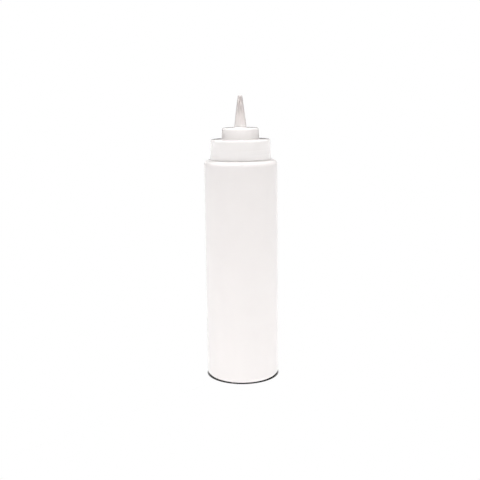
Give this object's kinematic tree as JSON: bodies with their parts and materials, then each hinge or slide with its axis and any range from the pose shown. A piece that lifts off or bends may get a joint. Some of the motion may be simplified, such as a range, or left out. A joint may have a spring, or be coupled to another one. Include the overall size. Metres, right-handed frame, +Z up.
{
  "type": "squeeze bottle",
  "caption": "Tall soft squeeze bottle for sauces, straight-sided, with a stepped screw cap and an open cone nozzle.",
  "frame": {"origin": "centre of the ring that the bottle rests on", "axes": "+Z up along the bottle's axis, towards the nozzle's tip"},
  "size_m": [0.07, 0.07, 0.2716],
  "materials": {
    "bottle_plastic": "translucent, satin",
    "cap_plastic": "translucent, satin",
    "seal_rubber": "satin"
  },
  "bodies": {
    "bottle": {"bottle": "bottle_plastic"},
    "seal_ring": {"seal_ring": "seal_rubber"},
    "cap": {"cap": "cap_plastic"}
  },
  "joints": [
    {"name": "cap_rise", "type": "slide", "parent": "bottle", "child": "seal_ring", "axis": [0, 0, 1], "range_m": [0, 0.0255]},
    {"name": "cap_turn", "type": "hinge", "parent": "seal_ring", "child": "cap", "pos_m": [0, 0, 0.2292], "axis": [0, 0, 1], "range_deg": [0, 2160]}
  ],
  "couplings": [
    {"joint": "cap_rise", "follows": "cap_turn", "m_per_rad": 0.00067376}
  ]
}
